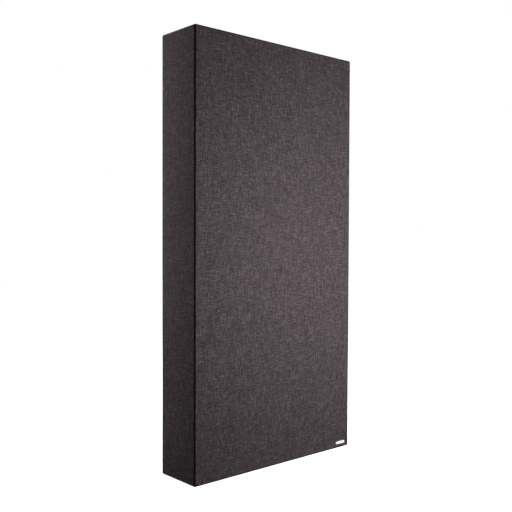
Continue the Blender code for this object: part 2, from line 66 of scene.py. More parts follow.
# Camera, at the photo's angle
cameraLook = {
    "place": (-1.42682, -1.59055, 0.65001),
    "yaw": -41.491,  # degrees round Z
    "tilt": -1.410,  # below the horizon
    "roll": 0.184,
    "lens": 51.238,
    "sensor": 36.0,
}


def makeCamera(look):
    data = bpy.data.cameras.new("studioCamera")
    data.lens, data.sensor_width = look["lens"], look["sensor"]
    data.clip_start, data.clip_end = 0.05, 60
    camera = bpy.data.objects.new("studioCamera", data)
    bpy.context.scene.collection.objects.link(camera)
    turn = Matrix.Rotation(math.radians(look["yaw"]), 4, "Z")
    turn @= Matrix.Rotation(math.radians(90 + look["tilt"]), 4, "X")
    turn @= Matrix.Rotation(math.radians(look["roll"]), 4, "Z")
    camera.matrix_world = Matrix.Translation(look["place"]) @ turn
    bpy.context.scene.camera = camera


makeCamera(cameraLook)
print("camera placed")

# The covered box, read from the CAD nodes that it replaces
clothFront, bandLow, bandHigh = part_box("front_cloth"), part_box("left_band")[0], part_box("right_band")[1]
cover = {
    "left": bandLow.x,
    "right": bandHigh.x,
    "floor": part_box("bottom_band")[0].z,
    "top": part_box("top_band")[1].z,
    "front": clothFront[0].y,
    "back": bandHigh.y,
    "bandFront": bandLow.y,  # the side cloth turns in here
    "corner": 5 * mm,
    "cloth": 0.8 * mm,
}
width, height = cover["right"] - cover["left"], cover["top"] - cover["floor"]
midHeight = (cover["top"] + cover["floor"]) / 2


# Hand tools


def addPrimitive(adder, name, spread, place, turn=(0, 0, 0), **settings):
    bpy.ops.object.select_all(action="DESELECT")
    adder(location=place, rotation=[math.radians(a) for a in turn], **settings)
    piece = bpy.context.object
    piece.name = piece.data.name = name
    piece.scale = spread
    bpy.ops.object.transform_apply(location=True, rotation=True, scale=True)
    return piece


def addBlock(name, size, place, turn=(0, 0, 0)):
    return addPrimitive(bpy.ops.mesh.primitive_cube_add, name, size, place, turn, size=1)


def addRod(name, radius, length, place, sides, turn=90):
    # a cylinder that lies front to back
    settings = {"vertices": sides, "radius": radius, "depth": length}
    return addPrimitive(bpy.ops.mesh.primitive_cylinder_add, name, (1, 1, 1), place, (turn, 0, 0), **settings)


def addSheet(name, low, high, depth, cell, turn):
    # a flat grid over a node's outline, at this depth
    wide, tall = high.x - low.x, high.z - low.z
    settings = {"x_subdivisions": round(wide / cell), "y_subdivisions": round(tall / cell), "size": 1}
    place = (0, depth, midHeight)
    return addPrimitive(bpy.ops.mesh.primitive_grid_add, name, (wide, tall, 1), place, (turn, 0, 0), **settings)


def addOutline(name, wide, tall, middle):
    # a flat face that is used for its edges
    return addPrimitive(bpy.ops.mesh.primitive_plane_add, name, (wide, tall, 1), middle, (90, 0, 0), size=1)


def activate(piece):
    bpy.ops.object.select_all(action="DESELECT")
    piece.select_set(True)
    bpy.context.view_layer.objects.active = piece


def pick(kind, test):
    # selects the verts, edges or faces whose middle passes the test, in edit mode
    bpy.context.tool_settings.mesh_select_mode = [kind == k for k in ("verts", "edges", "faces")]
    mesh = bpy.context.object.data
    bm = bmesh.from_edit_mesh(mesh)
    bpy.ops.mesh.select_all(action="DESELECT")
    for part in getattr(bm, kind):
        if kind == "verts":
            middle = part.co
        elif kind == "edges":
            middle = (part.verts[0].co + part.verts[1].co) / 2
        else:
            middle = part.calc_center_median()
        part.select_set(bool(test(middle, part)))
    bm.select_flush_mode()
    bmesh.update_edit_mesh(mesh)


def roundOff(kind, test, radius, steps):
    # bevels the edges or corners that pass the test
    pick(kind, test)
    bpy.ops.mesh.bevel(offset=radius, segments=steps, affect="EDGES" if kind == "edges" else "VERTICES")


def extrudeBy(x, y, z):
    bpy.ops.mesh.extrude_region_move(TRANSFORM_OT_translate={"value": (x, y, z)})


def dropFaces():
    # leaves the edges
    pick("faces", lambda p, f: True)
    bpy.ops.mesh.delete(type="ONLY_FACE")


def isCorner(p, low, high):
    return abs(p.x) > high.x - mm and not low.z + mm < p.z < high.z - mm


def near(a, b, slack=0.05 * mm):
    return abs(a - b) < slack


def isSharp(edge):
    return len(edge.link_faces) == 2 and edge.calc_face_angle(0) > math.radians(40)


def rimAt(y):
    return lambda p, e: near(p.y, y) and isSharp(e)


def editing(piece):
    activate(piece)
    bpy.ops.object.mode_set(mode="EDIT")


def doneEditing(merge=0.0):
    bpy.ops.mesh.select_all(action="SELECT")
    if merge:
        bpy.ops.mesh.remove_doubles(threshold=merge)
    bpy.ops.object.mode_set(mode="OBJECT")


def faceOutwards(piece, outward):
    # outward gives the true direction at a place, and the mesh is turned over where it disagrees
    editing(piece)
    bpy.ops.mesh.select_all(action="SELECT")
    bpy.ops.mesh.normals_make_consistent(inside=False)
    bm = bmesh.from_edit_mesh(piece.data)
    agree = sum(f.normal.dot(outward(f.calc_center_median())) * f.calc_area() for f in bm.faces)
    if agree < 0:
        bpy.ops.mesh.flip_normals()
    bpy.ops.object.mode_set(mode="OBJECT")


def applyModifier(piece, kind, **settings):
    activate(piece)
    modifier = piece.modifiers.new(kind.title(), kind)
    for key, value in settings.items():
        setattr(modifier, key, value)
    bpy.ops.object.modifier_apply(modifier=modifier.name)


def combine(piece, tool, operation="DIFFERENCE"):
    applyModifier(piece, "BOOLEAN", object=tool, operation=operation, solver="EXACT")
    removePiece(tool)


def cutOutline(step):
    # divides the long edges of the box's outline, in edit mode
    for axis, length in ((2, height), (0, width)):
        pick("edges", lambda p, e: abs(e.verts[0].co[axis] - e.verts[1].co[axis]) > length / 2)
        bpy.ops.mesh.subdivide(number_cuts=round(length / step) - 1)


def makeBar(outline, radius, steps):
    # turns an outline into a round bar along it
    name = outline.name
    activate(outline)
    bpy.ops.object.convert(target="CURVE")
    curve = bpy.context.object.data
    curve.bevel_depth, curve.bevel_resolution = radius, steps
    bpy.ops.object.convert(target="MESH")
    piece = bpy.context.object
    piece.name = piece.data.name = name
    return piece


def moveVerts(piece, shift):
    # a shift for each vertex, as the sculpt tools would make
    for vert in piece.data.vertices:
        vert.co += shift(vert.co)
    piece.data.update()


def makeCloth(piece, shift, thickness, threads, angle=50, **solidify):
    # settles a flat shape, thickens it inwards and maps its threads
    moveVerts(piece, shift)
    applyModifier(piece, "SOLIDIFY", thickness=thickness, offset=-1, **solidify)
    smooth(piece, angle)
    mapCloth(piece, threads)


def smooth(piece, angle=35):
    activate(piece)
    bpy.ops.object.shade_smooth_by_angle(angle=math.radians(angle))


def mapCloth(piece, coordinates):
    # writes the cloth's own coordinates, in metres along the threads, as the piece's UV map
    layers = piece.data.uv_layers
    while layers:
        layers.remove(layers[0])
    threads = layers.new(name="threads")
    for loop in piece.data.loops:
        threads.data[loop.index].uv = coordinates(piece.data.vertices[loop.vertex_index].co)


def copyOf(piece, name, shift=(0, 0, 0), turn=0.0):
    # turned round Y, in degrees, and then moved
    made = piece.copy()
    made.data = piece.data.copy()
    made.name = made.data.name = name
    bpy.context.scene.collection.objects.link(made)
    made.data.transform(Matrix.Translation(shift) @ Matrix.Rotation(math.radians(turn), 4, "Y"))
    return made


def removePiece(piece):
    mesh = piece.data
    bpy.data.objects.remove(piece)
    bpy.data.meshes.remove(mesh)


def finishPiece(piece, material, slot, *replaced, body="panel"):
    piece.data.materials.clear()
    piece.data.materials.append(material)
    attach(piece, body)
    if replaced:
        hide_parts(*replaced)
    return piece


# Material tools


def srgb(code):
    # hex to the linear values that the shader works in
    parts = [int(code[i : i + 2], 16) / 255 for i in (1, 3, 5)]
    return (*[p / 12.92 if p <= 0.04045 else ((p + 0.055) / 1.055) ** 2.4 for p in parts], 1.0)


def addNode(tree, kind, settings=None, links=None):
    # returns the node's outputs
    made = tree.nodes.new("ShaderNode" + kind)
    for key, value in (settings or {}).items():
        if key == "stops":
            for _ in range(len(value) - 2):
                made.color_ramp.elements.new(0.5)
            for element, (position, colour) in zip(made.color_ramp.elements, value):
                element.position, element.color = position, colour
        elif isinstance(key, str) and hasattr(made, key):
            setattr(made, key, value)
        else:
            made.inputs[key].default_value = value
    for key, source in (links or {}).items():
        tree.links.new(source, made.inputs[key])
    return made.outputs


def newFinish(name, values, onThreads=False):
    # a material, and the cloth's own coordinates or else the object's, in metres
    material = bpy.data.materials.new(name)
    material.use_nodes = True
    tree = material.node_tree
    shader = tree.nodes["Principled BSDF"]
    for key, value in values.items():
        shader.inputs[key].default_value = value
    if onThreads:
        place = addNode(tree, "UVMap", {"uv_map": "threads"})[0]
    else:
        place = addNode(tree, "TexCoord")["Object"]
    return material, tree, place


def stretched(tree, source, cells, detail, seed, roughness=0.5):
    # noise whose cells measure so many mm, every way or along each axis
    cells = [*cells, 1.0][:3] if isinstance(cells, tuple) else [cells] * 3
    scale = [1000 / size for size in cells]
    mapped = addNode(tree, "Mapping", {"Scale": scale, "Location": (seed, seed * 1.7, seed * 0.3)}, {0: source})
    settings = {"Scale": 1.0, "Detail": detail, "Roughness": roughness}
    return addNode(tree, "TexNoise", settings, {"Vector": mapped[0]})[0]


def weighted(tree, weights, *sources):
    # adds patterns by their weights
    total = None
    for weight, source in zip(weights, sources):
        links = {0: source} if total is None else {0: source, 2: total}
        total = addNode(tree, "Math", {"operation": "MULTIPLY_ADD", 1: weight, 2: 0.0}, links)[0]
    return total


def paintSurface(material, look, pattern, roughBy, reliefBy):
    # shades go by one pattern, roughness and relief by patterns of their own
    tree = material.node_tree
    stops = [(place, srgb(code)) for place, code in look["shades"]]
    colour = addNode(tree, "ValToRGB", {"stops": stops}, {0: pattern})[0]
    low, high = look["rough"]
    settings = {"From Min": 0.3, "From Max": 0.7, "To Min": low, "To Max": high}
    rough = addNode(tree, "MapRange", settings, {0: roughBy})[0]
    strength, depth = look["relief"]
    relief = addNode(tree, "Bump", {"Strength": strength, "Distance": depth}, {"Height": reliefBy})[0]
    for source, socket in ((colour, "Base Color"), (rough, "Roughness"), (relief, "Normal")):
        tree.links.new(source, tree.nodes["Principled BSDF"].inputs[socket])
    return material


# Melange plain-woven polyester: every yarn is spun from dark, plum and grey fibres, so its shade
# wanders along its length. The eye gets short upright and level dashes and a dry, even surface.
melangeLook = {
    "shades": ((0.355, "#221A1C"), (0.5, "#3F3639"), (0.64, "#665D60")),
    "greyCast": "#3A3737",  # patches where the grey fibres come forward
    "castFrom": 0.42,
    "castTo": 0.62,
    "cast": 0.22,
    "yarn": 1.6,  # mm, drawn twice as coarse as the real yarn so that it shows
    "warpRun": 30.0,  # mm along an upright yarn before its shade has changed
    "weftRun": 24.0,
    "fleck": 3.0,
    "patch": (14, 28),
    "showThrough": 0.3,  # the weave is loose, so neither yarn hides the other wholly
    "crossing": 0.2,
    "mix": (0.7, 0.3),  # yarn, fleck
    "reliefMix": (0.5, 0.6),  # dome of each crossing, shade
    "rough": (0.86, 0.98),
    "relief": (0.35, 0.35 * mm),
}


def yarnShades(tree, split, across, wide, run, seed):
    # a value for each yarn that changes along it; split holds the cloth's coordinates in metres
    scaled = addNode(tree, "Math", {"operation": "MULTIPLY", 1: 1000 / wide}, {0: split[across]})
    number = addNode(tree, "Math", {"operation": "FLOOR"}, {0: scaled[0]})[0]
    apart = addNode(tree, "Math", {"operation": "MULTIPLY_ADD", 1: 3.37, 2: seed}, {0: number})[0]
    along = addNode(tree, "Math", {"operation": "MULTIPLY", 1: 1000 / run}, {0: split[1 - across]})
    place = addNode(tree, "CombineXYZ", {}, {0: apart, 1: along[0]})[0]
    settings = {"noise_dimensions": "2D", "Scale": 1.0, "Detail": 3.0, "Roughness": 0.7}
    return addNode(tree, "TexNoise", settings, {"Vector": place})[0]


def weaveWave(tree, split, axis, wide):
    # rises and falls once over two yarns, and changes sign where a yarn ends
    turned = addNode(tree, "Math", {"operation": "MULTIPLY", 1: math.pi * 1000 / wide}, {0: split[axis]})
    return addNode(tree, "Math", {"operation": "SINE"}, {0: turned[0]})[0]


def melangeCloth(look):
    values = {"Specular IOR Level": 0.15, "Sheen Weight": 0.05, "Sheen Roughness": 0.6, "IOR": 1.5}
    material, tree, threads = newFinish("melange_woven_polyester", values, True)
    split = addNode(tree, "SeparateXYZ", {}, {0: threads})
    warp = yarnShades(tree, split, 0, look["yarn"], look["warpRun"], 3.1)
    weft = yarnShades(tree, split, 1, look["yarn"], look["weftRun"], 57.4)
    waves = [weaveWave(tree, split, axis, look["yarn"]) for axis in (0, 1)]
    crossing = addNode(tree, "Math", {"operation": "MULTIPLY"}, {0: waves[0], 1: waves[1]})[0]
    dome = addNode(tree, "Math", {"operation": "ABSOLUTE"}, {0: crossing})[0]
    limits = {"From Min": -look["crossing"], "From Max": look["crossing"]}
    limits.update({"To Min": look["showThrough"], "To Max": 1 - look["showThrough"]})
    warpOnTop = addNode(tree, "MapRange", limits, {0: crossing})[0]
    top = addNode(tree, "Mix", {"data_type": "FLOAT"}, {0: warpOnTop, 2: weft, 3: warp})[0]
    fleck = stretched(tree, threads, look["fleck"], 2.0, 27.9, 0.7)
    patch = stretched(tree, threads, look["patch"], 2.0, 41.3)
    mixed = weighted(tree, look["mix"], top, fleck)
    paintSurface(material, look, mixed, fleck, weighted(tree, look["reliefMix"], dome, mixed))
    limits = {"From Min": look["castFrom"], "From Max": look["castTo"], "To Max": look["cast"]}
    cast = addNode(tree, "MapRange", limits, {0: patch})[0]
    colour = tree.nodes["Principled BSDF"].inputs["Base Color"]
    links = {0: cast, 6: colour.links[0].from_socket}
    toned = addNode(tree, "Mix", {"data_type": "RGBA", 7: srgb(look["greyCast"])}, links)
    tree.links.new(toned[2], colour)
    return material


# Cotton twill bias tape over a cord, dyed black: matt, with a slanting rib that only shows close up.
pipingTwillLook = {
    "shades": ((0.3, "#0A0809"), (0.75, "#191617")),
    "ribSpacing": 1.2,
    "dust": 11.1,
    "mix": (0.35, 0.65),  # ribs, dust
    "rough": (0.82, 0.98),
    "relief": (0.4, 0.15 * mm),
}


def pipingTwill(look):
    values = {"Specular IOR Level": 0.1, "IOR": 1.5}
    material, tree, threads = newFinish("black_cotton_twill", values, True)
    settings = {"wave_type": "BANDS", "bands_direction": "DIAGONAL", "Scale": 1000 / look["ribSpacing"] / 20}
    settings.update({"Distortion": 0.6, "Detail": 1.0})
    ribs = addNode(tree, "TexWave", settings, {0: threads})["Fac"]
    dust = stretched(tree, threads, look["dust"], 3.0, 5.0)
    mixed = weighted(tree, look["mix"], ribs, dust)
    return paintSurface(material, look, mixed, dust, mixed)


# Spunbond polypropylene, black: tangled fibres pressed together at small points, faintly shiny.
spunbondLook = {
    "shades": ((0.25, "#161617"), (0.75, "#37373A")),
    "pointSpacing": 3.2,  # mm, really 1 mm apart, drawn wider so that the points show
    "fibre": (1.4, 6.25),
    "mottle": (7, 11),  # uneven laying of the fibres
    "mix": (0.5, 0.5),  # fibres, mottle
    "reliefMix": (1.2, 0.5),  # points, fibres
    "rough": (0.6, 0.82),
    "relief": (0.5, 0.2 * mm),
}


def spunbondSheet(look):
    material, tree, threads = newFinish("black_spunbond_polypropylene", {"IOR": 1.49}, True)
    points = addNode(tree, "TexVoronoi", {"Scale": 1000 / look["pointSpacing"], "Randomness": 0.25}, {0: threads})
    fibres = stretched(tree, threads, look["fibre"], 3.0, 9.0)
    mottle = stretched(tree, threads, look["mottle"], 4.0, 15.0, 0.6)
    dimples = weighted(tree, look["reliefMix"], points["Distance"], fibres)
    return paintSurface(material, look, weighted(tree, look["mix"], fibres, mottle), fibres, dimples)


# Planed pine: pale, with long brown growth lines along the board and a dull, dry face.
pineLook = {
    "shades": ((0.38, "#D9B98A"), (0.62, "#B08450")),
    "lines": (4.0, 260.0),  # mm across and along the board
    "pores": (1.3, 60.0),
    "mix": (0.75, 0.25),  # lines, pores
    "rough": (0.55, 0.7),
    "relief": (0.3, 0.2 * mm),
}


def planedPine(look, name, along):
    material, tree, place = newFinish(name, {"IOR": 1.5, "Specular IOR Level": 0.35})
    cells = []
    for wide, long in (look["lines"], look["pores"]):
        cells.append(tuple(long if axis == along else wide for axis in range(3)))
    lines = stretched(tree, place, cells[0], 3.0, 2.0, 0.6)
    pores = stretched(tree, place, cells[1], 2.0, 8.0)
    mixed = weighted(tree, look["mix"], lines, pores)
    return paintSurface(material, look, mixed, pores, mixed)


# Pressed mineral wool: yellow-brown felted fibres with darker binder clots, and no shine at all.
woolLook = {
    "shades": ((0.35, "#7C6433"), (0.65, "#B79C5E")),
    "clot": 9.0,
    "fibre": (6, 0.9, 0.9),
    "mix": (0.6, 0.4),  # clots, fibres
    "rough": (0.94, 1.0),
    "relief": (0.7, 0.6 * mm),
}


def mineralWool(look):
    values = {"Specular IOR Level": 0.1, "IOR": 1.5}
    material, tree, place = newFinish("pressed_mineral_wool", values)
    clots = stretched(tree, place, look["clot"], 4.0, 1.0, 0.65)
    fibres = stretched(tree, place, look["fibre"], 2.0, 6.0)
    mixed = weighted(tree, look["mix"], clots, fibres)
    return paintSurface(material, look, mixed, clots, mixed)


# Glass tissue: a wet-laid white veil whose swirled fibres show as fine pale hairs.
tissueLook = {
    "shades": ((0.35, "#CFCCC2"), (0.6, "#EDEBE4")),
    "hair": (1.2, 14),
    "cloud": 33.3,
    "mix": (0.6, 0.4),  # hairs, cloud
    "rough": (0.82, 0.95),
    "relief": (0.4, 0.2 * mm),
}


def glassTissue(look):
    values = {"IOR": 1.52, "Specular IOR Level": 0.3}
    material, tree, threads = newFinish("wet_laid_glass_tissue", values, True)
    hairs = stretched(tree, threads, look["hair"], 3.0, 4.0)
    cloud = stretched(tree, threads, look["cloud"], 3.0, 12.0)
    mixed = weighted(tree, look["mix"], hairs, cloud)
    return paintSurface(material, look, mixed, hairs, mixed)


# Zinc-plated steel, barrel plated: cool grey metal with a soft mottled shine and fine scuffs.
zincLook = {
    "shades": ((0.35, "#9C9FA0"), (0.65, "#C9CBC9")),
    "mottle": 3.0,
    "scuff": (0.6, 0.6, 5),
    "mix": (0.7, 0.3),  # mottle, scuffs
    "rough": (0.48, 0.26),  # the paler, the smoother
    "relief": (0.15, 0.05 * mm),
}


def zincSteel(look):
    material, tree, place = newFinish("barrel_zinc_plated_steel", {"Metallic": 1.0})
    mottle = stretched(tree, place, look["mottle"], 3.0, 2.5)
    scuffs = stretched(tree, place, look["scuff"], 2.0, 7.5)
    mixed = weighted(tree, look["mix"], mottle, scuffs)
    return paintSurface(material, look, mixed, mixed, scuffs)


# Compression-moulded rubber: near black, with a fine matt grain and a bloom of paler dust.
rubberLook = {
    "shades": ((0.4, "#1A1A1B"), (0.75, "#333334")),
    "grain": 0.5,
    "bloom": 4.0,
    "rough": (0.62, 0.8),
    "relief": (0.3, 0.08 * mm),
}


def mouldedRubber(look):
    material, tree, place = newFinish("compression_moulded_rubber", {"IOR": 1.52})
    grain = stretched(tree, place, look["grain"], 2.0, 3.0)
    bloom = stretched(tree, place, look["bloom"], 3.0, 10.0)
    return paintSurface(material, look, bloom, bloom, grain)


# Injection-moulded white ABS: an even, slightly warm white with a satin skin.
absLook = {
    "shades": ((0.35, "#F8F6F5"), (0.6, "#FEFDFD")),
    "grain": 0.4,
    "flow": (14, 4, 4),
    "rough": (0.32, 0.44),
    "relief": (0.1, 0.03 * mm),
}


def mouldedAbs(look):
    material, tree, place = newFinish("injection_moulded_white_abs", {"IOR": 1.54})
    grain = stretched(tree, place, look["grain"], 2.0, 3.0)
    flow = stretched(tree, place, look["flow"], 2.0, 6.0)
    return paintSurface(material, look, flow, grain, grain)


cloth = melangeCloth(melangeLook)
twill = pipingTwill(pipingTwillLook)
spunbond = spunbondSheet(spunbondLook)
pineUpright = planedPine(pineLook, "planed_pine_upright", 2)
pineLevel = planedPine(pineLook, "planed_pine_level", 0)
wool = mineralWool(woolLook)
tissue = glassTissue(tissueLook)
zinc = zincSteel(zincLook)
rubber = mouldedRubber(rubberLook)
whiteAbs = mouldedAbs(absLook)
print("materials made")

# Front panel of the cover, stretched over the fleece, its edge turned back behind the piping
frontClothLook = {
    "cell": 4.7 * mm,
    "cornerSteps": 6,
    "lipRadius": 1.4 * mm,
    "lipSteps": 5,
    "wave": 0.22 * mm,  # slow unevenness of the stretched cloth
    "waveSize": 130 * mm,
    "pucker": 0.13 * mm,  # gathers along the sewn edge
    "puckerLength": 17 * mm,
    "puckerReach": 11 * mm,
    "fade": 4 * mm,  # both leave the rounded edge alone
}


def edgePucker(along, distance, look, seed):
    drift = noise.noise(Vector((along / (5 * look["puckerLength"]), seed, 0)))
    wave = math.sin(math.tau * along / look["puckerLength"] + 4 * drift)
    return look["pucker"] * wave * (0.6 + 0.8 * drift) * math.exp(-distance / look["puckerReach"])


def makeFrontCloth(look):
    low, high = clothFront
    inner = low.x - cover["left"]  # the lip's distance from the sides
    lipDepth = high.y - low.y
    piece = addSheet("frontClothPanel", low, high, low.y, look["cell"], 90)
    editing(piece)
    roundOff("verts", lambda p, v: isCorner(p, low, high), max(cover["corner"] - inner, mm), look["cornerSteps"])
    pick("edges", lambda p, e: e.is_boundary)
    extrudeBy(0, lipDepth, 0)
    roundOff("edges", rimAt(low.y), look["lipRadius"], look["lipSteps"])
    doneEditing(0.01 * mm)
    faceOutwards(piece, lambda p: Vector((0, -1, 0)))

    def settle(p):
        sideGap = min(p.x - low.x, high.x - p.x)
        endGap = min(p.z - low.z, high.z - p.z)
        fade = min(1, max(0, min(sideGap, endGap) - look["lipRadius"]) / look["fade"])
        if fade == 0:
            return Vector()
        slow = noise.noise(p / look["waveSize"] + Vector((3, 0, 7))) * look["wave"]
        gather = edgePucker(p.z, sideGap, look, 1.0 + (p.x > 0))
        gather += edgePucker(p.x, endGap, look, 3.0 + (p.z > midHeight))
        return Vector((0, fade * (look["wave"] / 2 + slow + gather), 0))

    def threads(p):
        return p.x - (p.y - low.y) * math.copysign(1, -p.x), p.z

    makeCloth(piece, settle, cover["cloth"], threads, use_even_offset=True)
    finishPiece(piece, cloth, "cover_cloth", "front_cloth")
    return piece


frontCloth = makeFrontCloth(frontClothLook)
print("front cloth made,", len(frontCloth.data.polygons), "faces")

# The strip round the four sides. It is shaped as one ring and cut at the corners into four bands,
# which turn in behind the piping at the front and over the timber on to the back.
bandLook = {
    "cell": 6 * mm,
    "depthCuts": 25,
    "cornerSteps": 12,
    "frontRadius": 1.4 * mm,
    "backRadius": 4.0 * mm,
    "backInset": 4.4 * mm,
    "lip": 3.0 * mm,
    "returnReach": 17.1 * mm,
    "seamGap": 0.3 * mm,
    "seamSink": 0.3 * mm,  # the corner seam draws the cloth in
    "seamReach": 2.5 * mm,
    "wave": 0.18 * mm,
    "waveSize": 110 * mm,
    "pucker": 0.11 * mm,
    "puckerLength": 19 * mm,
    "puckerReach": 10 * mm,
    "fade": 4 * mm,
    "weaveStretch": 0.84,  # the sides are seen more slantwise, so their yarns are drawn coarser
}
# outward direction of each side, across and up
bandSides = {"left": (-1, 0), "right": (1, 0), "top": (0, 1), "bottom": (0, -1)}


def makeCoverRing(look):
    front, back, corner = cover["bandFront"], cover["back"], cover["corner"]
    ring = addOutline("coverRing", width, height, (0, front, midHeight))
    editing(ring)
    roundOff("verts", lambda p, v: True, corner, look["cornerSteps"])
    dropFaces()
    cutOutline(look["cell"])
    pick("edges", lambda p, e: True)
    extrudeBy(0, back - front, 0)
    pick("edges", lambda p, e: abs(e.verts[0].co.y - e.verts[1].co.y) > 0.1)
    bpy.ops.mesh.subdivide(number_cuts=look["depthCuts"])
    for place, inset in ((back, look["backInset"]), (front, look["lip"])):
        pick("edges", lambda p, e: near(p.y, place))
        bpy.ops.mesh.edge_face_add()
        bpy.ops.mesh.inset(thickness=inset, use_even_offset=True)
        bpy.ops.mesh.delete(type="FACE")
    for place, radius, steps in ((back, look["backRadius"], 6), (front, look["frontRadius"], 5)):
        roundOff("edges", rimAt(place), radius, steps)
    inset = look["backInset"]
    reach = look["returnReach"] - inset
    for across, up in bandSides.values():
        edge = Vector((across * (width / 2 - inset), 0, midHeight + up * (height / 2 - inset)))

        def onReturn(p, e, across=across, up=up, edge=edge):
            if not near(p.y, back) or not e.is_boundary:
                return False
            return near(p.x, edge.x) if across else near(p.z, edge.z)

        pick("edges", onReturn)
        extrudeBy(-across * reach, 0, -up * reach)
    doneEditing()
    return ring


def outwardFromBox(p):
    # the way out of the covered box from a place on its skin
    gaps = {
        (-1, 0, 0): p.x - cover["left"],
        (1, 0, 0): cover["right"] - p.x,
        (0, 0, -1): p.z - cover["floor"],
        (0, 0, 1): cover["top"] - p.z,
        (0, 1, 0): cover["back"] - p.y,
    }
    return Vector(min(gaps, key=gaps.get))


def makeBand(ring, name, look):
    across, up = bandSides[name]
    band = copyOf(ring, name + "BandCloth")
    editing(band)
    pick("verts", lambda p, v: p.x * across + (p.z - midHeight) * up < 0)
    bpy.ops.mesh.delete(type="VERT")
    mitres, middle = [], Vector((across * width / 2, 0, midHeight + up * height / 2))
    halfWide, halfTall = width / 2 - cover["corner"], height / 2 - cover["corner"]
    for sideways in (-1, 1):
        corner = Vector((across or sideways, 0, up or sideways))  # which corner of the box
        centre = Vector((corner.x * halfWide, 0, midHeight + corner.z * halfTall))
        radial = corner.normalized()
        normal = Vector((radial.z, 0, -radial.x))
        if (middle - centre).dot(normal) < 0:
            normal = -normal
        mitres.append((centre, radial, normal))
        bpy.ops.mesh.select_all(action="SELECT")
        cut = centre + normal * look["seamGap"] / 2
        bpy.ops.mesh.bisect(plane_co=cut, plane_no=normal, clear_inner=True, use_fill=False)
    pick("verts", lambda p, v: p.y < 0)
    bpy.ops.mesh.select_linked()
    bpy.ops.mesh.select_all(action="INVERT")  # what reached over from the next side's return
    bpy.ops.mesh.delete(type="VERT")
    doneEditing(0.01 * mm)
    faceOutwards(band, outwardFromBox)
    outward = Vector((across, 0, up))

    def settle(p):
        shift = Vector()
        onFace = (p - middle).dot(outward) > -0.5 * mm
        along = p.z if across else p.x
        frontGap, backGap = p.y - cover["bandFront"], cover["back"] - p.y
        flat = min(frontGap - look["frontRadius"], backGap - look["backRadius"])
        if onFace and flat > 0:
            fade = min(1, flat / look["fade"])
            slow = noise.noise(p / look["waveSize"] + outward * 9) * look["wave"]
            gather = edgePucker(along, frontGap, look, 5.0 + across) + edgePucker(along, backGap, look, 8.0 + up)
            shift -= outward * fade * (look["wave"] / 2 + slow + gather)
        for centre, radial, normal in mitres:
            distance = (p - centre).dot(normal)
            if distance < look["seamReach"] and frontGap > 0.2 * mm:
                sink = (1 - distance / look["seamReach"]) ** 2
                shift -= radial * look["seamSink"] * sink
        return shift

    def threads(p):
        inside = min(width / 2 - abs(p.x), height / 2 - abs(p.z - midHeight))
        around = (p.y + (inside if p.y > 0 else -inside)) * look["weaveStretch"]
        return around, p.z if across else p.x

    makeCloth(band, settle, cover["cloth"], threads, use_even_offset=True)
    finishPiece(band, cloth, "cover_cloth", name + "_band")
    return band


coverRing = makeCoverRing(bandLook)
bands = {name: makeBand(coverRing, name, bandLook) for name in bandSides}
removePiece(coverRing)
print("bands made,", sum(len(b.data.polygons) for b in bands.values()), "faces")

# Piping: a cord in a bias tape, sewn in all round the front
pipingLook = {
    "inset": 1.9 * mm,
    "radius": 1.1 * mm,
    "step": 1.6 * mm,
    "cornerSteps": 8,
    "bumps": 0.05 * mm,
    "bumpLength": 3.2 * mm,
}


def makePiping(look):
    place = cover["front"] + look["inset"]
    half = (width / 2 - look["inset"], height / 2 - look["inset"])
    piece = addOutline("seamPipingTape", 2 * half[0], 2 * half[1], (0, place, midHeight))
    editing(piece)
    roundOff("verts", lambda p, v: True, cover["corner"] - look["inset"], look["cornerSteps"])
    dropFaces()
    cutOutline(look["step"])
    doneEditing()
    piece = makeBar(piece, look["radius"], 3)

    def nearestOnPath(p):
        # place on the piping's centre line, which is straight but for its corners
        z = p.z - midHeight
        if half[0] - abs(p.x) < half[1] - abs(z):
            return Vector((math.copysign(half[0], p.x), place, p.z)), p.z
        return Vector((p.x, place, midHeight + math.copysign(half[1], z))), p.x

    def swell(p):
        middle, along = nearestOnPath(p)
        out = p - middle
        if out.length > 1.5 * look["radius"]:
            return Vector()
        wave = noise.noise(Vector((along / look["bumpLength"], p.x > 0, p.z > midHeight)))
        return out.normalized() * look["bumps"] * (wave - 0.5)

    moveVerts(piece, swell)
    smooth(piece, 60)

    def threads(p):
        middle, along = nearestOnPath(p)
        out = p - middle
        return math.atan2(out.y, out.x + out.z) * look["radius"], along

    mapCloth(piece, threads)
    return finishPiece(piece, twill, "piping_cloth", "seam_piping")


piping = makePiping(pipingLook)
print("piping made,", len(piping.data.polygons), "faces")

# Dust cover over the back: hemmed all round, drawn in a little between its staples
dustCoverLook = {
    "cell": 6.5 * mm,
    "thickness": 0.45 * mm,
    "corner": 2.5 * mm,
    "hem": 14 * mm,
    "hemStep": 0.12 * mm,
    "sag": 3.0 * mm,  # into the open bays between boards and braces
    "sagReach": 30 * mm,
    "wrinkle": 1.3 * mm,
    "wrinkleSize": (50 * mm, 160 * mm),
    "pull": 1.2 * mm,  # slanting folds that run in from each bay's corners
    "pullWidth": 26 * mm,
    "pullDrift": 70 * mm,
    "pullReach": 110 * mm,
    "lift": 0.3 * mm,  # between two staples
    "scallop": 0.9 * mm,
    "scallopReach": 2 * mm,
    "scallopClear": 12 * mm,  # none at the corners
    "stapleSpacing": 62 * mm,
    "stapleInset": 7 * mm,
}


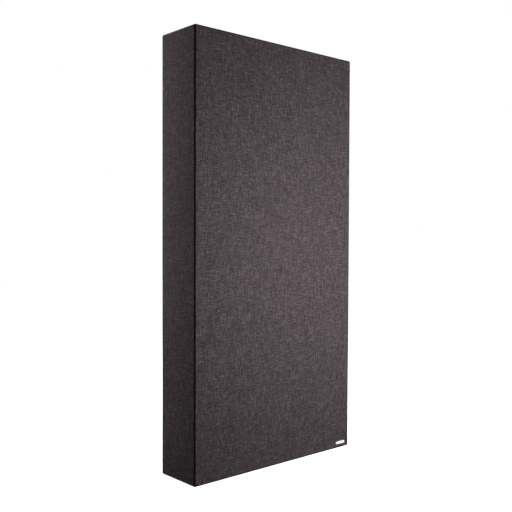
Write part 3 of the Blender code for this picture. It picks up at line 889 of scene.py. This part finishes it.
def makeDustCover(look):
    low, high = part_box("dust_cover")
    piece = addSheet("dustCoverSheet", low, high, high.y, look["cell"], -90)
    editing(piece)
    roundOff("verts", lambda p, v: isCorner(p, low, high), look["corner"], 4)
    doneEditing(0.01 * mm)
    faceOutwards(piece, lambda p: Vector((0, 1, 0)))
    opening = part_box("front_slab")
    braces = [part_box(n) for n in ("lower_brace", "upper_brace")]
    levels = sorted([opening[0].z, opening[1].z] + [edge.z for brace in braces for edge in brace])

    def cornerPulls(p):
        # folds across the line to the nearest corner of the bay, which fade on the way in
        corner = Vector((opening[p.x > 0].x, 0, min(levels, key=lambda z: abs(z - p.z))))
        away = Vector((p.x - corner.x, 0, p.z - corner.z))
        across = (abs(away.x) - abs(away.z)) / look["pullWidth"]
        drift = noise.noise(Vector((away.length / look["pullDrift"], corner.x * 9, corner.z * 9)))
        return look["pull"] * math.sin(math.pi * across + 7 * drift) * math.exp(-away.length / look["pullReach"])

    def settle(p):
        sideGap, endGap = min(p.x - low.x, high.x - p.x), min(p.z - low.z, high.z - p.z)
        gap = min(sideGap, endGap)
        shift = Vector((0, 0 if gap < look["hem"] else -look["hemStep"], 0))
        phase = math.pi * (p.z - midHeight if sideGap < endGap else p.x) / look["stapleSpacing"]
        shift.y -= look["lift"] * (math.cos(phase) ** 2 - 1) * math.exp(-((gap / look["hem"]) ** 2)) * 0.5
        inBay = min(p.x - opening[0].x, opening[1].x - p.x, p.z - opening[0].z, opening[1].z - p.z)
        for braceLow, braceHigh in braces:
            inBay = min(inBay, max(braceLow.z - p.z, p.z - braceHigh.z))
        if inBay > 0:
            slack = 1 - math.exp(-inBay / look["sagReach"])
            wide, tall = look["wrinkleSize"]
            folds = noise.noise(Vector((p.x / wide, 0, p.z / tall))) * look["wrinkle"]
            shift.y -= slack * (look["sag"] + folds + cornerPulls(p))
        if gap < look["scallopReach"] and max(sideGap, endGap) > look["scallopClear"]:
            along = p.z if sideGap < endGap else p.x
            dip = look["scallop"] * math.sin(math.pi * along / look["stapleSpacing"]) ** 2
            dip *= 1 - gap / look["scallopReach"]
            if sideGap < endGap:
                shift.x -= math.copysign(dip, p.x)
            else:
                shift.z -= math.copysign(dip, p.z - midHeight)
        return shift

    makeCloth(piece, settle, look["thickness"], lambda p: (p.x, p.z), 60)
    finishPiece(piece, spunbond, "black_fleece", "dust_cover")
    return piece


dustCover = makeDustCover(dustCoverLook)
print("dust cover made,", len(dustCover.data.polygons), "faces")

# Staples in the dust cover's hem, shaped once and copied along each side. They are driven by hand,
# so each is a little off its mark and its angle, and none lies under a strap or a bumper.
stapleLook = {
    "crown": 10.6 * mm,
    "wire": 0.8 * mm,
    "thick": 0.5 * mm,
    "leg": 1.2 * mm,
    "edge": 0.15 * mm,
    "stray": 4 * mm,
    "tilt": 5,  # degrees
    "clear": 4 * mm,  # from the hardware
    "endClear": 22 * mm,
}


def makeStaple(look):
    staple = addBlock("staple", (look["crown"], look["thick"], look["wire"]), (0, 0, 0))
    editing(staple)
    half = look["crown"] / 2
    pick("edges", lambda p, e: near(e.verts[0].co.x, -e.verts[1].co.x))
    bpy.ops.mesh.subdivide(number_cuts=2)
    pick("verts", lambda p, v: 0 < abs(p.x) < half - 0.1 * mm)
    bpy.ops.transform.resize(value=((half - look["wire"]) / (half / 3), 1, 1), center_override=(0, 0, 0))
    pick("faces", lambda p, f: f.normal.y < -0.9 and abs(p.x) > half - look["wire"])
    extrudeBy(0, -look["leg"], 0)
    roundOff("edges", lambda p, e: isSharp(e) and p.y > 0, look["edge"], 2)
    doneEditing()
    return staple


def makeStapleRows(look, sheet):
    low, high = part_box("dust_cover")
    spacing, inset = sheet["stapleSpacing"], sheet["stapleInset"]
    hardware = [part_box(n) for n in nodes if n.startswith(("hanger_strap", "bumper"))]
    staple = makeStaple(look)
    for name, (across, up) in bandSides.items():
        length = (high.z - low.z if across else high.x - low.x) - 2 * look["endClear"]
        count = int(length // spacing) + 1
        made = []
        for number in range(count):
            mark = (number - (count - 1) / 2) * spacing
            spot = Vector((number * 1.7, across * 9.1, up * 5.3 + 0.4))
            stray = Vector([noise.noise(spot + Vector((0, 0, 3.3 * i))) for i in range(3)])
            mark += stray.x * look["stray"]
            if across:
                x, z = across * (high.x - inset + stray.y * mm), midHeight + mark
            else:
                x, z = mark, midHeight + up * ((high.z - low.z) / 2 - inset + stray.y * mm)
            reach = look["crown"] / 2 + look["clear"]
            closeBy = [b for b in hardware if b[0].x - reach < x < b[1].x + reach]
            if any(b[0].z - reach < z < b[1].z + reach for b in closeBy):
                continue
            turn = (90 if across else 0) + stray.z * look["tilt"] * 2
            made.append(copyOf(staple, name + "StapleRow", (x, high.y + look["thick"] / 2, z), turn))
        activate(made[0])
        for copy in made:
            copy.select_set(True)
        bpy.ops.object.join()
        smooth(made[0], 40)
        finishPiece(made[0], zinc, "zinc_steel")
    removePiece(staple)


makeStapleRows(stapleLook, dustCoverLook)
print("staples made")

# What the cover hides: the fleece over the wool, and the two slabs
fleeceLook = {"cell": 12 * mm, "wave": 0.12 * mm, "waveSize": 40 * mm}


def makeFleece(look):
    low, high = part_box("fleece_layer")
    piece = addSheet("tissueLayer", low, high, low.y, look["cell"], 90)
    faceOutwards(piece, lambda p: Vector((0, -1, 0)))

    def settle(p):
        return Vector((0, look["wave"] * (1 + noise.noise(p / look["waveSize"])), 0))

    makeCloth(piece, settle, high.y - low.y - 3 * look["wave"], lambda p: (p.x, p.z))
    finishPiece(piece, tissue, "glass_fleece", "fleece_layer")


slabLook = {"edge": 3 * mm, "cuts": 5, "longest": 30 * mm, "lump": 0.5 * mm, "lumpSize": 28 * mm, "shrink": 0.6 * mm}


def makeSlab(name, node, look):
    low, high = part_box(node)
    middle = (low + high) / 2
    piece = addBlock(name, high - low - Vector((1, 1, 1)) * look["shrink"], middle)
    editing(piece)
    roundOff("edges", lambda p, e: True, look["edge"], 3)
    bpy.ops.mesh.select_all(action="SELECT")
    bpy.ops.mesh.subdivide(number_cuts=look["cuts"])
    pick("edges", lambda p, e: e.calc_length() > look["longest"])
    bpy.ops.mesh.subdivide(number_cuts=look["cuts"])
    doneEditing(0.01 * mm)

    def lumps(p):
        inwards = (middle - p).normalized()
        return inwards * look["lump"] * max(0, noise.noise(p / look["lumpSize"]))

    moveVerts(piece, lumps)
    smooth(piece, 60)
    finishPiece(piece, wool, "mineral_wool", node)
    return piece


makeFleece(fleeceLook)
slabs = [makeSlab("frontWoolSlab", "front_slab", slabLook), makeSlab("rearWoolSlab", "rear_slab", slabLook)]
print("filling made,", sum(len(s.data.polygons) for s in slabs), "slab faces")

# Hanger rings: round wire bent to a D, swinging in the strap's curl
ringLook = {"wireRadius": 1.25 * mm, "width": 19 * mm, "reach": 15 * mm, "bend": 2.2 * mm}


def hingeOf(side):
    return Vector(next(j for j in frame["joints"] if j["name"] == side + "_ring_swing")["pos_m"])


def makeRing(side, look):
    pivot = hingeOf(side)
    half = look["width"] / 2 - look["wireRadius"]
    drop = look["reach"] - look["wireRadius"]
    middle = pivot - Vector((0, 0, drop / 2))
    piece = addOutline(side + "HangerRing", 2 * half, drop, middle)
    editing(piece)
    roundOff("verts", lambda p, v: p.z > middle.z, look["bend"], 8)
    roundOff("verts", lambda p, v: p.z < middle.z - drop / 2 + 0.1 * mm, half * 0.999, 20)
    dropFaces()
    doneEditing(0.02 * mm)
    piece = makeBar(piece, look["wireRadius"], 6)
    smooth(piece, 60)
    finishPiece(piece, zinc, "zinc_steel", "hanger_ring_" + side, body=side + "_ring")


# Straps: a flat steel strip, spun round the ring's bar at its top
strapLook = {
    "thick": 1 * mm,
    "width": 11 * mm,
    "curlInner": 1.35 * mm,
    "curl": 262,  # degrees
    "curlSteps": 36,
    "endRound": 4 * mm,
    "edge": 0.15 * mm,
    "holeRadius": 1.9 * mm,
}


def makeStrap(side, look):
    pivot = hingeOf(side)
    low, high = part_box("hanger_strap_" + side)
    length = pivot.z - low.z
    middle = Vector((pivot.x, low.y + look["thick"] / 2, pivot.z - length / 2))
    piece = addBlock(side + "HangerStrap", (look["width"], look["thick"], length), middle)
    editing(piece)
    pick("faces", lambda p, f: f.normal.z > 0.9)
    bpy.ops.mesh.delete(type="ONLY_FACE")
    pick("edges", lambda p, e: e.is_boundary)
    turn = math.radians(look["curl"])
    bpy.ops.mesh.spin(steps=look["curlSteps"], angle=turn, center=pivot, axis=(1, 0, 0), dupli=False)
    pick("edges", lambda p, e: e.is_boundary)
    bpy.ops.mesh.edge_face_add()

    def atEnd(p, e):
        return near(p.z, low.z) and near(e.verts[0].co.x, e.verts[1].co.x)

    roundOff("edges", atEnd, look["endRound"], 8)
    doneEditing(0.01 * mm)
    faceOutwards(piece, lambda p: Vector((0, p.y - middle.y, 0)) if p.z < pivot.z - 3 * mm else Vector())
    for number in (1, 2):
        screwLow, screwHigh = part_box(f"hanger_screw_{side}_{number}")
        place = (pivot.x, middle.y, (screwLow.z + screwHigh.z) / 2)
        combine(piece, addRod("strapHole", look["holeRadius"], 4 * look["thick"], place, 32))
    limit = math.radians(50)
    applyModifier(piece, "BEVEL", width=look["edge"], segments=2, limit_method="ANGLE", angle_limit=limit)
    smooth(piece)
    finishPiece(piece, zinc, "zinc_steel", "hanger_strap_" + side)


# Pan head screws with a cross recess
screwLook = {
    "headRadius": 3.2 * mm,
    "head": 1.8 * mm,
    "edge": 0.9 * mm,
    "shankRadius": 1.6 * mm,
    "length": 20 * mm,
    "tip": 3 * mm,
    "point": 0.06,  # of the shank's thickness
    "slotReach": 1.8 * mm,
    "slotWidth": 0.9 * mm,
    "slotDepth": 1.1 * mm,
    "turns": {1: 54, 2: 85},  # degrees, as each was left
}


def makeScrew(look):
    # made at the origin with its head's top at y = 0, its shank towards -Y
    head = addRod("hangerScrew", look["headRadius"], look["head"], (0, -look["head"] / 2, 0), 40)
    editing(head)
    roundOff("edges", rimAt(0), look["edge"], 5)
    pick("faces", lambda p, f: f.normal.y < -0.9)
    bpy.ops.mesh.inset(thickness=look["headRadius"] - look["shankRadius"])
    straight = look["length"] - look["head"] - look["tip"]
    extrudeBy(0, -straight, 0)
    extrudeBy(0, -look["tip"], 0)
    bpy.ops.transform.resize(value=(look["point"], 1, look["point"]))
    doneEditing(0.01 * mm)
    for turn in (0, 90):
        slotSize = (2 * look["slotReach"], 2 * look["slotDepth"], look["slotWidth"])
        combine(head, addBlock("slot", slotSize, (0, 0, 0), (0, turn, 0)))
    smooth(head)
    return head


def makeHangers():
    screw = makeScrew(screwLook)
    for side in ("left", "right"):
        makeRing(side, ringLook)
        makeStrap(side, strapLook)
        for number in (1, 2):
            low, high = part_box(f"hanger_screw_{side}_{number}")
            place = ((low.x + high.x) / 2, high.y, (low.z + high.z) / 2)
            turned = copyOf(screw, f"{side}HangerScrew{number}", place, screwLook["turns"][number])
            finishPiece(turned, zinc, "zinc_steel", f"hanger_screw_{side}_{number}")
    removePiece(screw)


makeHangers()
print("hangers made")

# Wall bumpers: moulded rubber buttons with a shallow dimple
bumperLook = {"radius": 5.5 * mm, "edge": 1 * mm, "dimple": 2.6 * mm, "dimpleDepth": 0.5 * mm, "skirt": 0.5 * mm}


def makeBumpers(look):
    low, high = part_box("bumper_bottom_left")
    first = addRod("bumper", look["radius"], high.y - low.y, (low + high) / 2, 48, -90)
    editing(first)
    roundOff("edges", rimAt(high.y), look["edge"], 6)
    pick("faces", lambda p, f: near(p.y, high.y, 0.001 * mm) and f.normal.y > 0.9999)
    bpy.ops.mesh.inset(thickness=look["radius"] - look["edge"] - look["dimple"])
    bpy.ops.mesh.inset(thickness=look["dimpleDepth"], depth=-look["dimpleDepth"])
    roundOff("edges", rimAt(low.y), look["skirt"] / 2, 2)
    doneEditing()
    smooth(first, 30)
    for end in ("bottom", "top"):
        for side in ("left", "right"):
            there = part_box(f"bumper_{end}_{side}")[0] - low
            button = copyOf(first, f"{end}{side.title()}Bumper", there)
            finishPiece(button, rubber, "bumper_rubber", f"bumper_{end}_{side}")
    removePiece(first)


makeBumpers(bumperLook)
print("bumpers made")

# Badge: a blank moulded plate with softened edges
badgeLook = {"thick": 1.2 * mm, "round": 0.6 * mm, "edge": 0.35 * mm, "pinRadius": 1 * mm, "pinSpacing": 26 * mm}


def makeBadge(look):
    low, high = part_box("badge")
    size = Vector((high.x - low.x, look["thick"], high.z - low.z))
    middle = Vector(((low.x + high.x) / 2, low.y + look["thick"] / 2, (low.z + high.z) / 2))
    piece = addBlock("blankBadge", size, middle)
    editing(piece)
    roundOff("edges", lambda p, e: near(p.y, middle.y), look["round"], 8)
    roundOff("edges", rimAt(low.y), look["edge"], 4)
    doneEditing()
    for across in (-1, 1):
        pinSize = high.y - low.y - look["thick"] / 2
        place = (middle.x + across * look["pinSpacing"] / 2, high.y - pinSize / 2, middle.z)
        combine(piece, addRod("badgePin", look["pinRadius"], pinSize, place, 24), "UNION")
    smooth(piece)
    finishPiece(piece, whiteAbs, "badge_plastic", "badge")


makeBadge(badgeLook)
print("badge made")


# CAD nodes that stay: timber, and the steel inside the frame
def paintNodes():
    for name, node in nodes.items():
        if node.hide_render:
            continue
        if name.endswith("_board"):
            finish = pineUpright if name.startswith(("left", "right")) else pineLevel
        elif name.endswith("_brace"):
            finish = pineLevel
        else:
            finish = zinc
        node.data.materials.clear()
        node.data.materials.append(finish)


paintNodes()
print("timber and steel painted")

# Studio: pale floor, white surround and soft lights. The front is lit at mid height from the right,
# so it falls off towards both ends. A strip close behind the back edge lights the side, which so
# darkens towards the front seam and the floor.
studioLook = {
    "surround": 0.172,  # above the horizon, and none below it
    "horizon": 0.05,
    "floorSize": 16.0,
    "floorFibre": (2.5, 2.5, 1000),  # mm
    "floorShades": ((0.3, "#F4F4F4"), (0.7, "#F8F8F8")),
    "floorGlow": (0.9, 1.0),  # under the panel and far out, so that no horizon shows
    "glowReach": (0.5, 3.0),
    "sideTint": "#FFF8F9",  # the side's lights lean to red, as in the photo
    "lights": {  # place, aim, width, height, watts, spread in degrees
        "rightKey": ((0.95, -0.80, 0.80), (0.25, -0.08, 0.75), 0.4, 0.8, 5.67, 180),
        "lowerKey": ((0.56, -1.00, 0.41), (0.17, -0.08, 0.44), 0.4, 0.4, 8.73, 180),
        "topKey": ((0.20, -1.00, 1.40), (0.00, -0.08, 1.10), 0.4, 0.4, 1.87, 180),
        "leftStrip": ((0.00, -0.95, 0.64), (-0.05, -0.08, 0.64), 0.4, 0.4, 1.43, 90),
        "sideHigh": ((-0.42, 0.18, 1.15), (-0.42, -0.50, 1.15), 0.16, 0.7, 1.10, 180),
        "sideMiddle": ((-0.42, 0.18, 0.60), (-0.42, -0.50, 0.60), 0.16, 0.4, 0.52, 180),
        "sideLow": ((-0.42, 0.18, 0.20), (-0.42, -0.50, 0.20), 0.16, 0.4, 0.27, 180),
        "sideFar": ((-1.10, 0.20, 0.35), (-0.30, 0.00, 0.35), 0.4, 0.4, 0.77, 180),
        "backFill": ((1.30, 0.95, 1.70), (0.00, 0.08, 0.60), 0.6, 0.6, 46.0, 180),
    },
}


def makeStudio(look):
    world = bpy.data.worlds.new("studioSurround")
    world.use_nodes = True
    tree = world.node_tree
    lit = tree.nodes["Background"]
    lit.inputs[0].default_value = (1, 1, 1, 1)
    upwards = addNode(tree, "SeparateXYZ", {}, {0: addNode(tree, "TexCoord")["Generated"]})[2]
    limits = {"From Min": -look["horizon"], "From Max": look["horizon"], "To Max": look["surround"]}
    strength = addNode(tree, "MapRange", limits, {0: upwards})[0]
    tree.links.new(strength, lit.inputs[1])
    seen = addNode(tree, "Background", {0: (1, 1, 1, 1), 1: 1.0})
    direct = addNode(tree, "LightPath")["Is Camera Ray"]
    mix = addNode(tree, "MixShader", {}, {0: direct, 1: lit.outputs[0], 2: seen[0]})
    tree.links.new(mix[0], tree.nodes["World Output"].inputs[0])
    bpy.context.scene.world = world

    # matt paper floor: even and white, with a trace of fibre
    values = {"Roughness": 0.95, "Specular IOR Level": 0.1, "Emission Color": (1, 1, 1, 1)}
    material, tree, place = newFinish("matt_paper_floor", values)
    shader = tree.nodes["Principled BSDF"]
    fibre = stretched(tree, place, look["floorFibre"], 2.0, 1.0)
    stops = [(at, srgb(code)) for at, code in look["floorShades"]]
    colour = addNode(tree, "ValToRGB", {"stops": stops}, {0: fibre})[0]
    tree.links.new(colour, shader.inputs["Base Color"])
    away = addNode(tree, "VectorMath", {"operation": "LENGTH"}, {0: place})["Value"]
    limits = dict(zip(("From Min", "From Max", "To Min", "To Max"), look["glowReach"] + look["floorGlow"]))
    glow = addNode(tree, "MapRange", limits, {0: away})[0]
    tree.links.new(glow, shader.inputs["Emission Strength"])
    size = look["floorSize"]
    floor = addPrimitive(bpy.ops.mesh.primitive_plane_add, "paperFloor", (size, size, 1), (0, 0, -0.2 * mm), size=1)
    floor.data.materials.append(material)
    floor.visible_diffuse = floor.visible_glossy = False

    for name, (where, aim, wide, high, watts, spread) in look["lights"].items():
        data = bpy.data.lights.new(name, "AREA")
        data.shape, data.size, data.size_y = "RECTANGLE", wide, high
        data.energy, data.spread = watts, math.radians(spread)
        if name.startswith("side"):
            data.color = srgb(look["sideTint"])[:3]
        lamp = bpy.data.objects.new(name, data)
        bpy.context.scene.collection.objects.link(lamp)
        lamp.location = where
        lamp.rotation_euler = (Vector(aim) - Vector(where)).to_track_quat("-Z", "Y").to_euler()
        lamp.visible_camera = False
    bpy.context.scene.view_settings.view_transform = "Standard"


makeStudio(studioLook)
print("studio lit")
